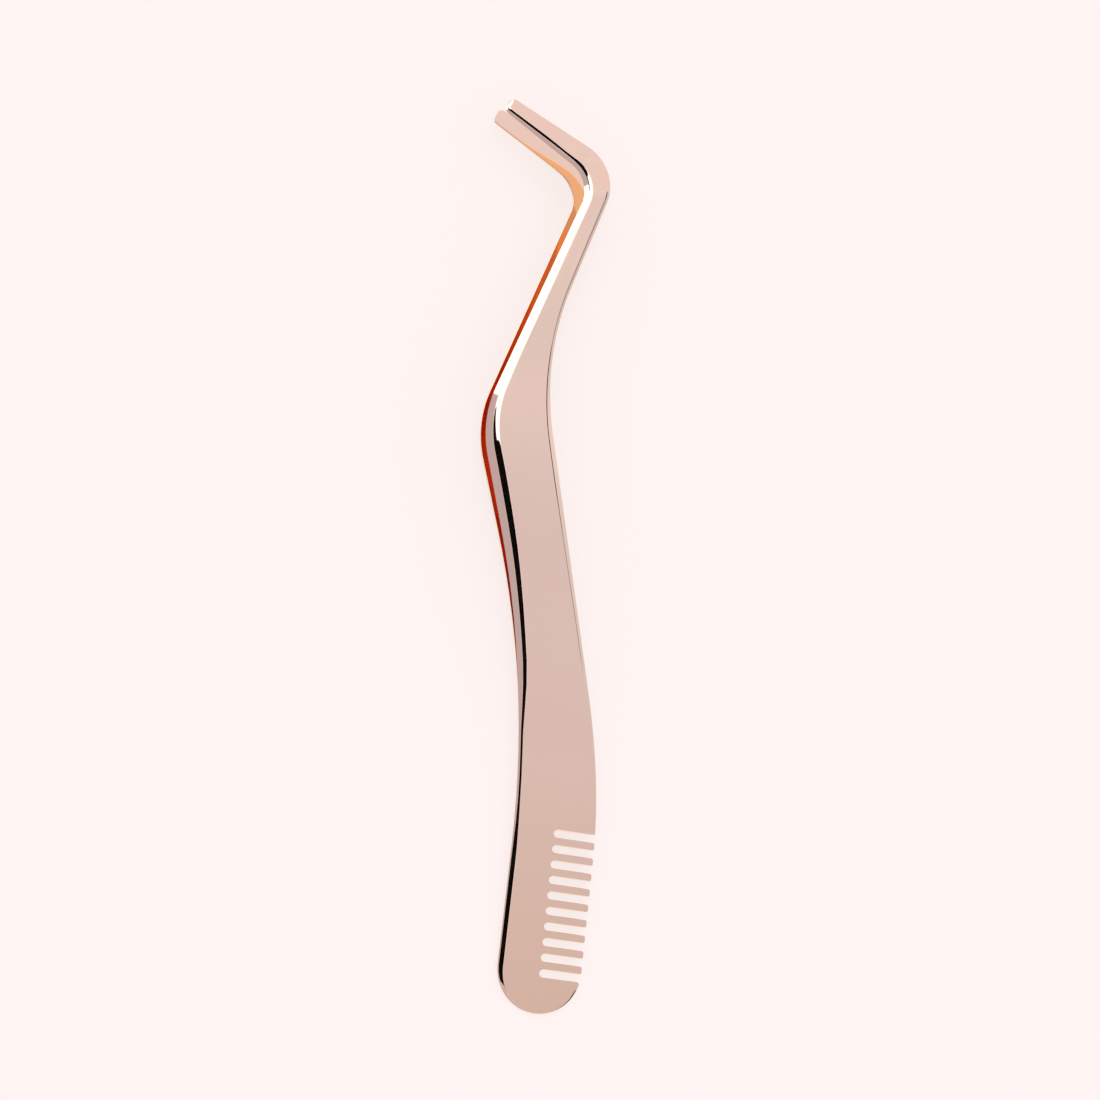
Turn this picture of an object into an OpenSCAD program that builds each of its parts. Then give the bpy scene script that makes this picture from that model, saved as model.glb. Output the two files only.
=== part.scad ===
// Eyelash applicator tweezers: two mirrored sprung steel leaves, welded face to face along a handle
// that ends in a comb. The arms open from the end of the weld to the angled jaws.
// The tool lies on its back leaf, with its length along Y and its jaws towards +Y.

/* [Overall] */
// Length from the round end of the comb to the jaw tips
tool_len = 125; // [113:1:137]
// Gap between the inner faces at the open jaw tips
tip_gap = 5; // [3.5:0.1:6]

/* [Leaf section] */
// Height of the drafted side at the comb
comb_side_h = 0.2; // [0.2:0.05:0.35]
// Width of the bevel round the outer face at the comb
comb_bevel_w = 0.58; // [0.4:0.02:0.7]
// Height of the drafted side at the finger pad
pad_side_h = 1.8; // [1.4:0.05:2]
// Height of the drafted side at the jaw
jaw_side_h = 1.1; // [0.8:0.05:1.3]
// Width of the bevel round the outer face at the finger pad
pad_bevel_w = 0.84; // [0.4:0.02:0.9]

/* [Comb] */
// Number of slots in the comb
slot_count = 10; // [6:1:10]
// Width of each slot
slot_w = 1.1; // [0.8:0.05:1.3]
// Distance from one slot to the next
slot_pitch = 2.08; // [2:0.01:2.2]

/* [Spot welds] */
// Diameter of each weld nugget
weld_d = 2.6; // [2:0.1:3.2]
// Depth that each nugget reaches into a leaf
weld_depth = 0.15; // [0.1:0.05:0.2]

/* [Hidden] */
steel = [0.86, 0.71, 0.65];
weld_steel = [0.55, 0.53, 0.52];

// The outline is drawn for a tool of this length, and everything in its plane scales with tool_len.
drawn_len = 125;
k = tool_len / drawn_len;

// Corners of the leaf's two edges, as [x, y, radius of the rounded corner], from the comb's round end
// up to the jaw tip. The first and last points lie on the flat ends, and only aim the corners next to them.
left_edge = [
    [-1.1, -61.9, 0],
    [-7.45, -61.9, 5.9],   // left side of the comb's round end
    [-2.1, -18, 130],      // hollow of the handle
    [-9.7, 17.9, 15.4],    // corner of the finger pad
    [6.15, 52.7, 4.4],     // inside of the bend
    [-7, 61.5, 0.85],      // lower corner of the tip
    [-6.4, 62.4, 0]
];
right_edge = [
    [-0.7, -61.9, 0],
    [4.55, -61.9, 6],      // right side of the comb's round end
    [8.1, -30.8, 85],      // swell above the comb
    [-1.1, 26.7, 39],      // waist behind the finger pad
    [10.5, 54.75, 6.4],    // outside of the bend
    [-5.75, 63.36, 0.85],  // upper corner of the tip
    [-6.3, 62.55, 0]
];
arc_steps = 10;
line_steps = 4;

// The leaves part here, at the end of the welded handle. The arms start a hair further on.
flex_y = -18;
arm_clearance = 0.02;
// How much the arms bow outwards, so that the jaws meet first, and the length over which they open
bow = 0.0005;
reach = 81;

// Sections along the length, as [y, height of the drafted side, width of the bevel].
side_draft = 0.27;
bevel_slope = 0.45;
sections = [
    [-62, comb_side_h, 0.1],
    [-55, comb_side_h, comb_bevel_w],
    [-42, comb_side_h, comb_bevel_w],
    [-33, 2 * comb_side_h, 0.3],
    [-26, 2 * comb_side_h, 0.3],
    [-15, 0.72 * pad_side_h, 0.52],
    [11, pad_side_h, pad_bevel_w],
    [30, 0.8 * pad_side_h, 0.46],
    [50, jaw_side_h, 0.5],
    [56, 0.85 * jaw_side_h, 0.25],
    [63, 0.5 * jaw_side_h, 0.2]
];

// The comb's slots run square to a line that leans with the comb's toothed edge.
first_root = [1.1, -37.9];
comb_lean = 6.3;
slot_cut_len = 14;

// Centres of the weld nuggets, along the middle of the handle
welds = [[1.7, -22], [1.6, -29], [-2.4, -48]];

cut = 400;

function unit(v) = v / norm(v);
function mix(a, b, f) = a + (b - a) * f;
function ease(f) = f * f * (3 - 2 * f);
function xy(v) = [v[0], v[1]];

// One rounded corner at b, on the way from a to c
function corner(a, b, c, r) =
    let (u = unit(a - b))
    let (v = unit(c - b))
    let (half = acos(u * v) / 2)
    let (centre = b + unit(u + v) * r / sin(half))
    let (from = b + u * r / tan(half) - centre)
    let (to = b + v * r / tan(half) - centre)
    let (turn = 180 - 2 * half)
    [for (i = [0 : arc_steps])
        centre + (from * sin(turn * (1 - i / arc_steps)) + to * sin(turn * i / arc_steps)) / sin(turn)];

// The points of one edge: its rounded corners, with steps along the straights between them
function edge(e) =
    let (last = len(e) - 2)
    let (arcs = [for (i = [1 : last]) corner(xy(e[i - 1]), xy(e[i]), xy(e[i + 1]), e[i][2])])
    [for (i = [0 : last - 1]) each concat(
        arcs[i],
        i == last - 1 ? [] : [for (s = [1 : line_steps - 1])
            mix(arcs[i][arc_steps], arcs[i + 1][0], s / line_steps)])];

// A value from the sections table at a place along the length, eased between its rows
function section(y, column) =
    let (top = len(sections) - 1)
    let (below = [for (i = [0 : top - 1]) if (sections[i][0] <= y) i])
    let (i = len(below) == 0 ? 0 : below[len(below) - 1])
    let (f = (y - sections[i][0]) / (sections[i + 1][0] - sections[i][0]))
    mix(sections[i][column], sections[i + 1][column], ease(min(1, max(0, f))));

// Height of the front leaf's inner face above the middle plane
function opening(s) = s - bow * s * s;
function inner_z(y) = y <= flex_y ? 0 : tip_gap / 2 * opening(y - flex_y) / opening(reach);
function side_z(y) = inner_z(y) + section(y, 1);
function face_z(y) = side_z(y) + bevel_slope * section(y, 2);

left = edge(left_edge);
right = edge(right_edge);
count = len(left);

// Inward direction across an edge at point i: turn is 1 on the left edge and -1 on the right edge
function inward(p, i, turn) =
    let (t = unit(p[min(i + 1, count - 1)] - p[max(i - 1, 0)]))
    turn * [t[1], -t[0]];

// The three points of the section on one edge: inner corner, top of the drafted side, edge of the face
function edge_section(p, i, turn) =
    let (y = p[i][1])
    let (n = inward(p, i, turn))
    let (side_in = side_draft * section(y, 1))
    let (a = p[i])
    let (b = p[i] + n * side_in)
    let (c = b + n * section(y, 2))
    [[k * a[0], k * a[1], inner_z(y)], [k * b[0], k * b[1], side_z(y)], [k * c[0], k * c[1], face_z(y)]];

ring = 6;
leaf_points = [for (i = [0 : count - 1])
    let (l = edge_section(left, i, 1))
    let (r = edge_section(right, i, -1))
    each [l[0], l[1], l[2], r[2], r[1], r[0]]];
start_cap = [[0, 1, 4, 5], [1, 2, 3, 4]];
leaf_faces = concat(
    start_cap,
    [for (i = [0 : count - 2]) for (j = [0 : ring - 1])
        let (m = (j + 1) % ring)
        [ring * i + j, ring * (i + 1) + j, ring * (i + 1) + m, ring * i + m]],
    [for (f = start_cap) [for (j = [3, 2, 1, 0]) f[j] + ring * (count - 1)]]);

module leaf() {
    polyhedron(points = leaf_points, faces = leaf_faces, convexity = 6);
}

// The half of space on the comb's side of the flex line, or on the jaws' side
module comb_side() {
    translate([-cut / 2, k * flex_y - cut, -cut / 2]) cube(cut);
}

module jaw_side() {
    translate([-cut / 2, k * flex_y + arm_clearance, -cut / 2]) cube(cut);
}

module slots() {
    root = k * first_root;
    for (i = [0 : slot_count - 1]) {
        translate([root[0], root[1], 0])
        rotate([0, 0, -comb_lean])
        translate([slot_w / 2, -i * slot_pitch * k, -cut / 2]) {
            cylinder(h = cut, d = slot_w, $fn = 32);
            translate([0, -slot_w / 2, 0]) cube([slot_cut_len, slot_w, cut]);
        }
    }
}

module weld_nuggets() {
    for (w = welds) {
        translate([k * w[0], k * w[1], -weld_depth]) cylinder(h = 2 * weld_depth, d = weld_d, $fn = 48);
    }
}

module handle_half() {
    difference() {
        intersection() {
            leaf();
            comb_side();
        }
        slots();
        weld_nuggets();
    }
}

module arm() {
    intersection() {
        leaf();
        jaw_side();
    }
}

// The tool rests on the round end of the comb and on the back of the finger pad, so it tips by this slope.
end_y = -61.4;
rest_slope = max([for (y = [0 : 60]) (face_z(y) - face_z(end_y)) / (k * (y - end_y))]);
rest_tilt = atan(rest_slope);
rest_lift = face_z(end_y) * cos(rest_tilt) - k * end_y * sin(rest_tilt);
middle = [-0.13, 0.6];

module lay_down() {
    translate([-k * middle[0], -k * middle[1], rest_lift]) rotate([rest_tilt, 0, 0]) children();
}

module front_handle() {
    color(steel) lay_down() handle_half();
}

module back_handle() {
    color(steel) lay_down() mirror([0, 0, 1]) handle_half();
}

module front_arm() {
    color(steel) lay_down() arm();
}

module back_arm() {
    color(steel) lay_down() mirror([0, 0, 1]) arm();
}

module spot_welds() {
    color(weld_steel) lay_down() weld_nuggets();
}

front_handle();
back_handle();
front_arm();
back_arm();
spot_welds();
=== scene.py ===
"""Looks for the eyelash applicator tweezers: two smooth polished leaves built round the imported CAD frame."""

import math

import bmesh
import bpy
import numpy as np
from mathutils import Matrix, Vector


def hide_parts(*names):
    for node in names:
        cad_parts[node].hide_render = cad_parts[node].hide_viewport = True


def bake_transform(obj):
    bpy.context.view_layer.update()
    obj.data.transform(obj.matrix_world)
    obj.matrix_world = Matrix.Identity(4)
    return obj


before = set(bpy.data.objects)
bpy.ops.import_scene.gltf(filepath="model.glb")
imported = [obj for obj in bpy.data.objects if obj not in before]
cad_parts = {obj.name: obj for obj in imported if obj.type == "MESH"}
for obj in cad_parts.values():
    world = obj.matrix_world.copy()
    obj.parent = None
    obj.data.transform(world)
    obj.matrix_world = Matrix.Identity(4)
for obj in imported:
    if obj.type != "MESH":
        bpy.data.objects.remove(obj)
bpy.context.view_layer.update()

MM = 0.001

# ---------------------------------------------------------------------------
# Shape of one leaf, in millimetres, in the tool's own frame: length along Y,
# jaws towards +Y, the plane where the two leaves meet at Z = 0.
# ---------------------------------------------------------------------------

# Corners of the leaf's two edges, as (x, y, radius of the rounded corner), from the comb's round end
# up to the jaw tip. The first and last points lie on the flat ends, and only aim the corners next to them.
LEFT_EDGE = [
    (-1.1, -61.9, 0),
    (-7.45, -61.9, 5.9),
    (-2.1, -18, 130),
    (-9.7, 17.9, 15.4),
    (6.15, 52.7, 4.4),
    (-7, 61.5, 0.85),
    (-6.4, 62.4, 0),
]
RIGHT_EDGE = [
    (-0.7, -61.9, 0),
    (4.55, -61.9, 6),
    (8.1, -30.8, 85),
    (-1.1, 26.7, 39),
    (10.5, 54.75, 6.4),
    (-5.75, 63.36, 0.85),
    (-6.3, 62.55, 0),
]
ARC_STEPS = (30, 14, 26, 22, 14)      # steps round each corner, from the comb to the tip
LINE_STEPS = (18, 18, 26, 14)         # steps along each straight between corners

# Section along the length, as (y, height of the drafted side, width of the bevel).
SECTIONS = [
    (-62, 0.2, 0.1),
    (-55, 0.2, 0.58),
    (-42, 0.2, 0.58),
    (-33, 0.4, 0.3),
    (-26, 0.4, 0.3),
    (-15, 1.296, 0.52),
    (11, 1.8, 0.84),
    (30, 1.44, 0.46),
    (50, 1.1, 0.5),
    (56, 0.795, 0.45),
    (63, 0.5, 0.3),
]
SIDE_DRAFT = 0.27
BEVEL_SLOPE = 0.45

# The welded handle ends at this Y, and each arm bends within this distance of it.
FLEX_Y = -18
# Gap between the jaw tips, how much the arms bow outwards, and the length over which they open
TIP_GAP = 5
BOW = 0.0005
REACH = 81
# Where the comb's round end rests, where the pad's resting place is looked for, and the tool's middle
END_Y = -61.4
PAD_YS = range(0, 61)
MIDDLE = (-0.13, 0.6)

# Radii that polishing leaves on the section's three creases, and the width of the strips beside them
SEAM_RADIUS = 0.05
SIDE_RADIUS = 0.1
FACE_RADIUS = 0.7
FACE_LIMIT = 1.2                      # the last radius is at most this many widths of the bevel
SUPPORT = 0.2
CROWN = 0.025                         # how far the bevel swells at its middle, for its width
CREASE_STEPS = 4
FACE_COLUMNS = 8
SHARP_ANGLE = math.radians(35)        # the slots' edges turn by more than this, and stay sharp
FACE_WEIGHT = 100                     # lets the large faces steer the smooth normals

# The comb
SLOT_COUNT = 10
SLOT_W = 1.1
SLOT_PITCH = 2.08
FIRST_ROOT = (1.1, -37.9)
COMB_LEAN = math.radians(6.3)
ROOT_STEPS = 18                       # steps round the end of each slot
TOOTH_RADIUS = 0.42
TOOTH_STEPS = 6                       # steps round the corner of each tooth
SLOT_BREAK = 0.03                     # tiny chamfer where a slot breaks through the face
CUTTER_MARGIN = 1                     # how far the cutters reach past the leaf's two faces
MOUTH_MARGIN = 2                      # and past its edge
MERGE = 0.002                         # points closer than this are joined after the slots are cut


def ease(f):
    f = np.clip(f, 0, 1)
    return f * f * (3 - 2 * f)


def section(y, column):
    """A value from the sections table at each place along the length, eased between its rows."""
    ys = [row[0] for row in SECTIONS]
    values = [row[column] for row in SECTIONS]
    y = np.asarray(y, float)
    out = np.full(y.shape, float(values[0]))
    for i in range(len(ys) - 1):
        f = ease((y - ys[i]) / (ys[i + 1] - ys[i]))
        out = np.where(y >= ys[i], values[i] + (values[i + 1] - values[i]) * f, out)
    return out


def opening(s):
    """How far an arm has opened, at a distance along it."""
    return s - BOW * s * s


def inner_z(y):
    """Height of the front leaf's inner face above the middle plane."""
    y = np.asarray(y, float)
    return np.where(y <= FLEX_Y, 0, TIP_GAP / 2 * opening(y - FLEX_Y) / opening(REACH))


def face_z(y):
    return inner_z(y) + section(y, 1) + BEVEL_SLOPE * section(y, 2)


def unit(v):
    return v / np.linalg.norm(v)


def corner(a, b, c, radius, steps):
    """Points round one rounded corner at b, on the way from a to c."""
    a, b, c = (np.array(p[:2], float) for p in (a, b, c))
    u, v = unit(a - b), unit(c - b)
    half = math.acos(u @ v) / 2
    centre = b + unit(u + v) * radius / math.sin(half)
    first = b + u * radius / math.tan(half) - centre
    last = b + v * radius / math.tan(half) - centre
    turn = math.pi - 2 * half
    f = np.linspace(0, 1, steps + 1)[:, None]
    return centre + (first * np.sin(turn * (1 - f)) + last * np.sin(turn * f)) / math.sin(turn)


def edge(table):
    """All the points of one edge: its rounded corners, with steps along the straights between them."""
    arcs = [corner(table[i - 1], table[i], table[i + 1], table[i][2], ARC_STEPS[i - 1])
            for i in range(1, len(table) - 1)]
    points = [arcs[0]]
    for arc, steps in zip(arcs[1:], LINE_STEPS):
        f = np.linspace(0, 1, steps + 1)[1:-1, None]
        points.append(points[-1][-1] + (arc[0] - points[-1][-1]) * f)
        points.append(arc)
    return np.concatenate(points)


LEFT = edge(LEFT_EDGE)
RIGHT = edge(RIGHT_EDGE)
COUNT = len(LEFT)


def rounded_profile(y):
    """The section's (inset, height) pairs at one place, from the inner face up to the outer face."""
    h = float(section(y, 1))
    w = float(section(y, 2))
    seam = (0, 0)
    shoulder = (SIDE_DRAFT * h, h)
    rim = (SIDE_DRAFT * h + w, h + BEVEL_SLOPE * w)
    crown = ((shoulder[0] + rim[0] - CROWN * w * BEVEL_SLOPE) / 2, (shoulder[1] + rim[1] + CROWN * w) / 2)
    on_face = (rim[0] + SUPPORT, rim[1])
    return np.concatenate([
        [(SUPPORT, 0)],
        corner((SUPPORT, 0), seam, shoulder, SEAM_RADIUS, CREASE_STEPS),
        corner(seam, shoulder, rim, min(SIDE_RADIUS, w), CREASE_STEPS),
        [crown],
        corner(shoulder, rim, on_face, min(FACE_RADIUS, FACE_LIMIT * w), CREASE_STEPS),
        [on_face],
    ])


def outward(points):
    """Outward normals of a closed outline that runs clockwise."""
    t = np.roll(points, -1, 0) - np.roll(points, 1, 0)
    t /= np.linalg.norm(t, axis=1)[:, None]
    return np.stack([-t[:, 1], t[:, 0]], 1)


def end_strip(low, high):
    """Triangles between a row of two points and a full row, at either end of the leaf."""
    half = FACE_COLUMNS // 2
    full, pair = (high, low) if len(high) > len(low) else (low, high)
    fans = [(full[c], full[c + 1], pair[c // half]) for c in range(FACE_COLUMNS)]
    fans.append((pair[0], full[half], pair[1]))
    return [f[::-1] for f in fans] if full is high else fans


def leaf_shape():
    """Vertices and faces of the front leaf, with its comb still uncut."""
    outline = np.concatenate([LEFT, RIGHT[::-1]])
    normals = outward(outline)
    n = len(outline)
    profile = np.array([rounded_profile(p[1]) for p in outline])
    rings = profile.shape[1]
    verts, faces = [], []
    for r in range(rings):
        flat = outline - normals * profile[:, r, :1]
        verts += [(x, y, z + float(inner_z(y))) for (x, y), z in zip(flat, profile[:, r, 1])]
    for r in range(rings - 1):
        for i in range(n):
            j = (i + 1) % n
            faces.append((r * n + i, (r + 1) * n + i, (r + 1) * n + j, r * n + j))

    def skin(ring, height, flip):
        """Quads across the leaf, between the left and right halves of one ring."""
        left = ring * n + np.arange(COUNT)
        right = ring * n + n - 1 - np.arange(COUNT)
        rows = []
        for i in range(COUNT):
            row = [left[i], right[i]]
            if 0 < i < COUNT - 1:
                a, b = np.array(verts[left[i]]), np.array(verts[right[i]])
                for c in range(1, FACE_COLUMNS):
                    x, y, _ = a + (b - a) * c / FACE_COLUMNS
                    row.insert(-1, len(verts))
                    verts.append((x, y, float(height(y))))
            rows.append(row)
        for i in range(COUNT - 1):
            low, high = rows[i], rows[i + 1]
            if len(low) == len(high):
                new = [(low[c], low[c + 1], high[c + 1], high[c]) for c in range(len(low) - 1)]
            else:
                new = end_strip(low, high)
            faces.extend([f[::-1] for f in new] if flip else new)

    skin(rings - 1, face_z, False)
    skin(0, inner_z, True)
    return verts, faces


def slot_outline(i):
    """Closed outline of one slot's cutter, which rounds the teeth's corners at its mouth."""
    along = np.array([math.cos(COMB_LEAN), -math.sin(COMB_LEAN)])
    across = np.array([math.sin(COMB_LEAN), math.cos(COMB_LEAN)])
    root = np.array(FIRST_ROOT) - across * SLOT_PITCH * i
    half = SLOT_W / 2

    def reach(v):
        """How far along the slot the leaf's right edge lies, at a distance v across it."""
        place = RIGHT - root - across * v
        u, s = place @ along, place @ across
        k = np.nonzero((s[:-1] <= 0) & (s[1:] > 0) & (u[:-1] > 0))[0][0]
        return u[k] - s[k] * (u[k + 1] - u[k]) / (s[k + 1] - s[k])

    points = [(half + half * math.cos(a), half * math.sin(a))
              for a in np.linspace(math.pi / 2, 3 * math.pi / 2, ROOT_STEPS + 1)]
    for side in (-1, 1):
        mouth = reach(side * (half + TOOTH_RADIUS))
        wall = [(mouth - TOOTH_RADIUS * (1 - math.sin(a)), side * (half + TOOTH_RADIUS * (1 - math.cos(a))))
                for a in np.linspace(0, math.pi / 2, TOOTH_STEPS + 1)]
        wall.append((mouth + MOUTH_MARGIN, side * (half + TOOTH_RADIUS)))
        points += wall[::-side]
    return np.array([root + along * u + across * v for u, v in points])


def slot_cutters():
    """Vertices and faces of the cutters for all the slots. Each widens where it breaks through the face."""
    verts, faces = [], []
    for i in range(SLOT_COUNT):
        outline = slot_outline(i)
        top = float(face_z(outline[0][1]))
        levels = [
            (-CUTTER_MARGIN, 0),
            (top - SLOT_BREAK, 0),
            (top + SLOT_BREAK, 2 * SLOT_BREAK),
            (top + CUTTER_MARGIN, 2 * SLOT_BREAK),
        ]
        normals = -outward(outline)
        n = len(outline)
        first = len(verts)
        for z, grow in levels:
            verts += [(x, y, z) for x, y in outline + normals * grow]
        for r in range(len(levels) - 1):
            low = first + r * n
            faces += [(low + k, low + (k + 1) % n, low + n + (k + 1) % n, low + n + k) for k in range(n)]
        faces.append(tuple(first + k for k in reversed(range(n))))
        faces.append(tuple(first + (len(levels) - 1) * n + k for k in range(n)))
    return verts, faces


def new_object(name, verts, faces):
    """A mesh object in the scene, made from vertices and faces."""
    mesh = bpy.data.meshes.new(name)
    mesh.from_pydata([tuple(map(float, v)) for v in verts], [], [tuple(map(int, f)) for f in faces])
    obj = bpy.data.objects.new(name, mesh)
    bpy.context.scene.collection.objects.link(obj)
    return obj


def cut_leaf():
    """The front leaf's mesh in the tool's frame, in millimetres, with its comb cut."""
    leaf = new_object("leaf", *leaf_shape())
    cutter = new_object("slot_cutters", *slot_cutters())
    boolean = leaf.modifiers.new("slots", "BOOLEAN")
    boolean.operation = "DIFFERENCE"
    boolean.solver = "EXACT"
    boolean.object = cutter
    bpy.context.view_layer.update()
    mesh = bpy.data.meshes.new_from_object(leaf.evaluated_get(bpy.context.evaluated_depsgraph_get()))
    bpy.data.objects.remove(leaf)
    bpy.data.objects.remove(cutter)
    clean = bmesh.new()
    clean.from_mesh(mesh)
    bmesh.ops.remove_doubles(clean, verts=clean.verts, dist=MERGE)
    bmesh.ops.dissolve_degenerate(clean, edges=clean.edges, dist=MERGE)
    clean.to_mesh(mesh)
    clean.free()
    return mesh


# ---------------------------------------------------------------------------
# From the tool's frame, in millimetres, to the row's frame, in metres: the tool
# lies on the round end of the comb and on the back of the finger pad.
# ---------------------------------------------------------------------------
SLOPE = max((face_z(y) - face_z(END_Y)) / (y - END_Y) for y in PAD_YS)
TILT = math.atan(SLOPE)
LIFT = float(face_z(END_Y)) * math.cos(TILT) - END_Y * math.sin(TILT)
LAY_DOWN = (Matrix.Scale(MM, 4) @ Matrix.Translation((-MIDDLE[0], -MIDDLE[1], LIFT))
            @ Matrix.Rotation(TILT, 4, "X"))


def build_leaf(name, shape, side):
    """One leaf, side 1 for the front and -1 for the back, smooth apart from its sharp slot edges."""
    mesh = shape.copy()
    mesh.name = name
    obj = bpy.data.objects.new(name, mesh)
    bpy.context.scene.collection.objects.link(obj)
    if side < 0:
        mesh.transform(Matrix.Diagonal((1, 1, -1, 1)))
        mesh.flip_normals()
    mesh.transform(LAY_DOWN)
    mesh.shade_smooth()
    mesh.set_sharp_from_angle(angle=SHARP_ANGLE)
    normals = obj.modifiers.new("normals", "WEIGHTED_NORMAL")
    normals.keep_sharp = True
    normals.weight = FACE_WEIGHT
    return obj


# ---------------------------------------------------------------------------
# Materials
# ---------------------------------------------------------------------------

# The plating's reflectance: deeper and paler patches, and where it is worn
TONE_DEEP = (0.893, 0.646, 0.458)
TONE_PALE = (0.907, 0.662, 0.478)
TONE_WORN = (0.85, 0.70, 0.60)
# Painted shade: the colour is multiplied darker towards the end of the comb, between these two places along Y,
# in place of the dimmer reflection there.
COMB_PAINTED_SHADE = (0.945, 0.885, 0.81)
PAINTED_SHADE_START = -15 * MM
PAINTED_SHADE_END = -62 * MM

# Noise patterns, as (scale per metre, detail)
TONE_NOISE = (60, 3)
WEAR_NOISE = (900, 4)
HAZE_NOISE = (350, 6)
GRAIN_NOISE = (2500, 3)
# The polishing lines run along the tool, so their pattern is stretched before it is drawn.
POLISH_STRETCH = (3000, 60, 3000)
POLISH_NOISE = (1, 2)
POLISH_DEPTH = 0.0002 * MM

# Wear shows where a crease's pointiness and the wear pattern both rise through these ranges.
CREASE_WEAR = (0.52, 0.62)
PATCH_WEAR = (0.45, 0.7)
# The haze pattern's range, the roughness that it gives, and what full wear adds
HAZE_RANGE = (0.3, 0.7)
HAZE_ROUGHNESS = (0.03, 0.07)
WORN_ROUGHNESS = 0.12

WELD_DARK = (0.42, 0.40, 0.39)
WELD_PALE = (0.60, 0.58, 0.56)
GRAIN_STRENGTH = 0.5
GRAIN_DEPTH = 0.02 * MM


def feed(tree, socket, value):
    """Link a socket to another node's output, or set it to a plain number, vector or colour."""
    if isinstance(value, bpy.types.NodeSocket):
        tree.links.new(value, socket)
    elif socket.type == "RGBA":
        socket.default_value = (*value, 1)
    else:
        socket.default_value = value


def add_node(tree, kind, **values):
    """A new node with some of its inputs fed."""
    node = tree.nodes.new("ShaderNode" + kind)
    for name, value in values.items():
        feed(tree, node.inputs[name], value)
    return node


def mix_colours(tree, factor, first, second, blend="MIX"):
    """Two colours mixed by a factor."""
    node = tree.nodes.new("ShaderNodeMix")
    node.data_type = "RGBA"
    node.blend_type = blend
    feed(tree, node.inputs[0], factor)
    feed(tree, node.inputs[6], first)
    feed(tree, node.inputs[7], second)
    return node.outputs[2]


def remap(tree, value, source, target, interpolation="LINEAR"):
    """A number carried from one range to another, and held at its ends."""
    node = tree.nodes.new("ShaderNodeMapRange")
    node.interpolation_type = interpolation
    feed(tree, node.inputs["Value"], value)
    for name, number in zip(("From Min", "From Max", "To Min", "To Max"), (*source, *target)):
        node.inputs[name].default_value = number
    return node.outputs["Result"]


def maths(tree, operation, *values):
    """The result of one operation on numbers or other nodes' outputs."""
    node = tree.nodes.new("ShaderNodeMath")
    node.operation = operation
    for socket, value in zip(node.inputs, values):
        feed(tree, socket, value)
    return node.outputs["Value"]


def new_material(name):
    """A new material, with its node tree and its shader."""
    mat = bpy.data.materials.new(name)
    mat.use_nodes = True
    return mat, mat.node_tree, mat.node_tree.nodes["Principled BSDF"]


def polished_rose_gold():
    """Mirror-polished rose gold plating: slight changes of tone, polishing haze, fine polishing lines along
    the tool, edges where handling has dulled the plating a little, and painted shade that darkens it towards
    the comb's end."""
    mat, tree, shader = new_material("rose_gold_steel")
    shader.inputs["Metallic"].default_value = 1.0
    place = tree.nodes.new("ShaderNodeTexCoord").outputs["Object"]

    def noise(pattern, vector=place):
        scale, detail = pattern
        return add_node(tree, "TexNoise", Scale=scale, Detail=detail, Vector=vector).outputs["Fac"]

    pointiness = tree.nodes.new("ShaderNodeNewGeometry").outputs["Pointiness"]
    crease = remap(tree, pointiness, CREASE_WEAR, (0, 1))
    wear = maths(tree, "MULTIPLY", crease, remap(tree, noise(WEAR_NOISE), PATCH_WEAR, (0, 1)))

    tone = mix_colours(tree, noise(TONE_NOISE), TONE_DEEP, TONE_PALE)
    worn = mix_colours(tree, wear, tone, TONE_WORN)
    along = add_node(tree, "SeparateXYZ", Vector=place).outputs["Y"]
    # Painted shade: the base colour grows darker towards the comb's end.
    shade_towards_end = remap(tree, along, (PAINTED_SHADE_START, PAINTED_SHADE_END), (0, 1))
    painted_shade = mix_colours(tree, shade_towards_end, (1, 1, 1), COMB_PAINTED_SHADE)
    feed(tree, shader.inputs["Base Color"], mix_colours(tree, 1.0, worn, painted_shade, "MULTIPLY"))

    haze = remap(tree, noise(HAZE_NOISE), HAZE_RANGE, HAZE_ROUGHNESS)
    dulling = remap(tree, wear, (0, 1), (0, WORN_ROUGHNESS))
    feed(tree, shader.inputs["Roughness"], maths(tree, "ADD", haze, dulling))

    stretched = add_node(tree, "Mapping", Scale=POLISH_STRETCH, Vector=place).outputs["Vector"]
    lines = add_node(tree, "Bump", Strength=1.0, Distance=POLISH_DEPTH, Height=noise(POLISH_NOISE, stretched))
    feed(tree, shader.inputs["Normal"], lines.outputs["Normal"])
    return mat


def weld_metal():
    """Dull grey fused metal, with grain in its colour, roughness and surface."""
    mat, tree, shader = new_material("weld_steel")
    shader.inputs["Metallic"].default_value = 1.0
    place = tree.nodes.new("ShaderNodeTexCoord").outputs["Object"]
    scale, detail = GRAIN_NOISE
    grain = add_node(tree, "TexNoise", Scale=scale, Detail=detail, Vector=place).outputs["Fac"]
    bump = add_node(tree, "Bump", Strength=GRAIN_STRENGTH, Distance=GRAIN_DEPTH, Height=grain)
    feed(tree, shader.inputs["Base Color"], mix_colours(tree, grain, WELD_DARK, WELD_PALE))
    feed(tree, shader.inputs["Roughness"], grain)
    feed(tree, shader.inputs["Normal"], bump.outputs["Normal"])
    return mat


# ---------------------------------------------------------------------------
# The object
# ---------------------------------------------------------------------------
rose_gold = polished_rose_gold()
weld_steel = weld_metal()
shape = cut_leaf()
for side, word in ((1, "front"), (-1, "back")):
    leaf = build_leaf(word + "_leaf", shape, side)
    leaf.data.materials.append(rose_gold)
    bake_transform(leaf)
    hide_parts(word + "_handle", word + "_arm")
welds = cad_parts["spot_welds"]
welds.data.materials.clear()
welds.data.materials.append(weld_steel)

# ---------------------------------------------------------------------------
# Floor and light. From here on, lengths are in metres and in the row's frame.
# ---------------------------------------------------------------------------
scene = bpy.context.scene

FLOOR_HALF = 3.0
# What the floor reflects, and its own even glow
FLOOR_TONE = (0.97, 0.88, 0.71)
FLOOR_DIFFUSE = 0.25
GLOW_TONE = (0.991, 0.905, 0.896)
FLOOR_GLOW = 0.785

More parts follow.
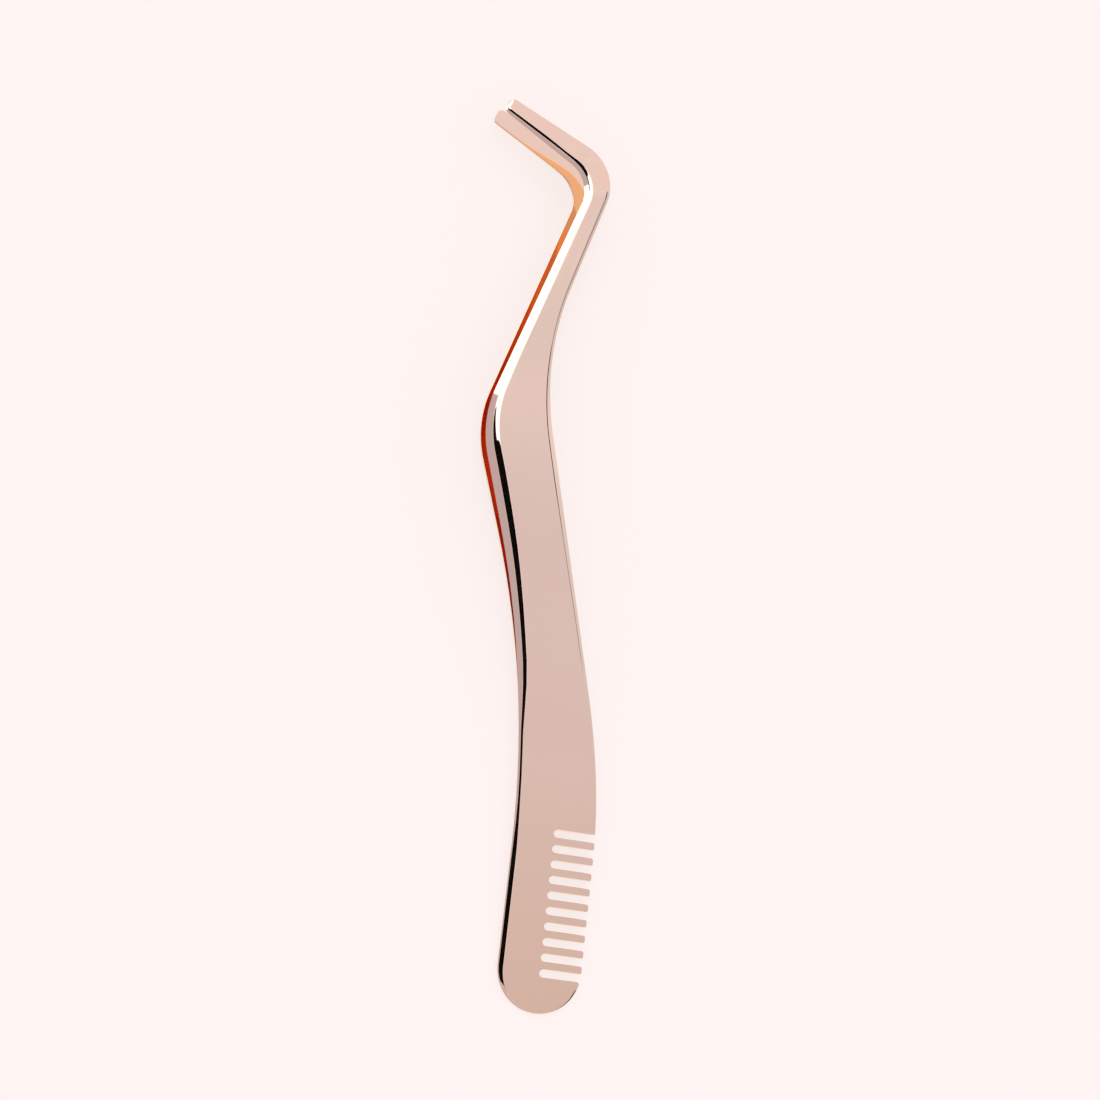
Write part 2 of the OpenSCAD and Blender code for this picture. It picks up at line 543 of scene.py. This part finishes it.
# The light's colour overhead, by the Y part of its direction: it brightens towards the jaws.
OVERHEAD = [
    (0.00, (0.777, 0.768, 0.955)),
    (0.12, (0.801, 0.807, 0.99)),
    (0.17, (0.831, 0.837, 1.015)),
    (0.20, (0.85, 0.847, 1.04)),
    (0.25, (0.923, 0.911, 1.075)),
    (0.32, (0.923, 0.886, 1.045)),
]
# Overhead it is brighter by this share on the left, in steep directions only.
LEFT_GLOW = 0.35
GLOW_X = (0.0, 0.24)
STEEP_Z = (0.6, 0.8)
# Its colour at the horizon, and below it on the left, on the right and far off on the right
HORIZON = (0.99, 0.93, 1.02)
BELOW_LEFT = (0.585, 0.55, 0.70)
BELOW_RIGHT = (1.0, 0.90, 0.80)
BELOW_FAR = (1.35, 1.22, 1.10)
# The parts of the direction between which those colours change
HORIZON_Z = (0.05, 0.25)
BELOW_Z = (-0.06, 0.0)
RIGHT_X = (0.0, 0.15)
FAR_Y = (0.35, 0.6)


def plain_floor():
    """A pale floor with an even glow of its own, so that it takes only a faint shadow."""
    corners = [(x * FLOOR_HALF, y * FLOOR_HALF, 0) for x, y in ((-1, -1), (1, -1), (1, 1), (-1, 1))]
    floor = new_object("floor", corners, [(0, 1, 2, 3)])
    mat, _, shader = new_material("floor")
    shader.inputs["Base Color"].default_value = (*[FLOOR_DIFFUSE * c for c in FLOOR_TONE], 1)
    shader.inputs["Emission Color"].default_value = (*GLOW_TONE, 1)
    shader.inputs["Emission Strength"].default_value = FLOOR_GLOW
    shader.inputs["Roughness"].default_value = 1.0
    shader.inputs["Specular IOR Level"].default_value = 0.0
    floor.data.materials.append(mat)
    floor.visible_glossy = False


def studio_world():
    """Soft light from all round: brighter towards the jaws, and dimmer below on the left."""
    world = bpy.data.worlds.new("studio")
    scene.world = world
    world.use_nodes = True
    tree = world.node_tree
    direction = tree.nodes.new("ShaderNodeTexCoord").outputs["Generated"]
    parts = add_node(tree, "SeparateXYZ", Vector=direction).outputs

    def ramp(axis, source, target=(0, 1)):
        return remap(tree, parts[axis], source, target, "SMOOTHSTEP")

    overhead = OVERHEAD[0][1]
    for (low, _), (high, colour) in zip(OVERHEAD, OVERHEAD[1:]):
        overhead = mix_colours(tree, ramp("Y", (low, high)), overhead, colour)
    brighter = tree.nodes.new("ShaderNodeVectorMath")
    brighter.operation = "SCALE"
    glow = maths(tree, "MULTIPLY_ADD", ramp("X", GLOW_X, (LEFT_GLOW, 0)), ramp("Z", STEEP_Z), 1.0)
    feed(tree, brighter.inputs[0], overhead)
    feed(tree, brighter.inputs["Scale"], glow)
    upper = mix_colours(tree, ramp("Z", HORIZON_Z), HORIZON, brighter.outputs["Vector"])
    below_right = mix_colours(tree, ramp("Y", FAR_Y), BELOW_RIGHT, BELOW_FAR)
    below = mix_colours(tree, ramp("X", RIGHT_X), BELOW_LEFT, below_right)
    light = mix_colours(tree, ramp("Z", BELOW_Z), below, upper)
    feed(tree, tree.nodes["Background"].inputs["Color"], light)


plain_floor()
studio_world()

# ---------------------------------------------------------------------------
# Cards that only show as reflections in the metal
# ---------------------------------------------------------------------------

# A bluish tone, which looks white in the rose gold, and the strengths of white, grey and black cards
CARD_TONE = (0.72, 0.86, 1.0)
WHITE = 2.15
GREY = 0.5
FLAG_BLACK = 0.01
CAMERA_BLACK = 0.004

# The level cards at the camera's height follow one another along Y: stand, shroud and softbox.
CARDS_X = (-0.42, -0.02)
CARDS_Z = 0.395
STAND_Y = (-0.6, -0.19)
SHROUD_Y = (-0.19, 0.045)
SOFTBOX_Y = (0.045, 0.7)
# The arm covers part of the softbox from just below it. Its right side slants between these two X.
ARM_X = (-0.213, -0.253)
ARM_Y = (0.045, 0.2)
ARM_Z = 0.394
# The board below the tool's level
BOARD_X = (-0.4, -0.02)
BOARD_Y = (0.062, 0.5)
BOARD_Z = -0.045
# The flags on the right lean from their lower side to their upper side by this much.
FLAG_LEAN = Vector((-0.12, 0, 0.14))


def card(name, corners, strength, tone=CARD_TONE):
    """A flat card, seen only in reflections."""
    obj = new_object(name, corners, [(0, 1, 2, 3)])
    mat, tree, shader = new_material(name)
    tree.nodes.remove(shader)
    glow = add_node(tree, "Emission", Color=tone, Strength=strength)
    feed(tree, tree.nodes["Material Output"].inputs["Surface"], glow.outputs["Emission"])
    obj.data.materials.append(mat)
    obj.visible_camera = False
    obj.visible_diffuse = False
    obj.visible_shadow = False


def level_card(name, x, y, z, strength, tone=CARD_TONE):
    """A level card between two x and two y, at one height."""
    card(name, [(x[0], y[0], z), (x[1], y[0], z), (x[1], y[1], z), (x[0], y[1], z)], strength, tone)


def flag(name, first, last, strength):
    """A leaning card, given the two ends of its lower side."""
    first, last = Vector(first), Vector(last)
    card(name, [first, first + FLAG_LEAN, last + FLAG_LEAN, last], strength)


level_card("camera_shroud", CARDS_X, SHROUD_Y, CARDS_Z, CAMERA_BLACK)
card("camera_arm", [
    (CARDS_X[0], ARM_Y[0], ARM_Z),
    (ARM_X[0], ARM_Y[0], ARM_Z),
    (ARM_X[1], ARM_Y[1], ARM_Z),
    (CARDS_X[0], ARM_Y[1], ARM_Z),
], CAMERA_BLACK)
level_card("camera_stand", CARDS_X, STAND_Y, CARDS_Z, 1.0, OVERHEAD[0][1])
level_card("top_softbox", CARDS_X, SOFTBOX_Y, CARDS_Z, WHITE)
level_card("low_board", BOARD_X, BOARD_Y, BOARD_Z, WHITE)
flag("right_flag", (0.46, 0.17, 0.287), (0.462, 0.085, 0.269), FLAG_BLACK)
flag("right_grey", (0.462, 0.085, 0.269), (0.464, 0.03, 0.257), GREY)
flag("right_low_flag", (0.471, -0.2, 0.206), (0.48, -0.5, 0.14), FLAG_BLACK)

# ---------------------------------------------------------------------------
# Camera
# ---------------------------------------------------------------------------
CAMERA = (-142.9, -72.0, 394.7)       # in the tool's frame, in millimetres, as is the place it aims at
AIM = (0.72, 0.68, 0)
SENSOR = 36
LENS = 102.38
CLIP_START = 0.01
BOUNCES = 32                          # enough for the light between the two leaves

camera_data = bpy.data.cameras.new("camera")
camera_data.sensor_width = SENSOR
camera_data.lens = LENS
camera_data.clip_start = CLIP_START
camera = bpy.data.objects.new("camera", camera_data)
scene.collection.objects.link(camera)
eye = LAY_DOWN @ Vector(CAMERA)
aim = LAY_DOWN @ Vector(AIM)
up = (LAY_DOWN.to_3x3() @ Vector((0, 1, 0))).normalized()
forward = (aim - eye).normalized()
right = forward.cross(up).normalized()
turn = Matrix((right, right.cross(forward), -forward)).transposed().to_4x4()
camera.matrix_world = Matrix.Translation(eye) @ turn
scene.camera = camera

scene.view_settings.view_transform = "Standard"
scene.cycles.max_bounces = BOUNCES
scene.cycles.glossy_bounces = BOUNCES
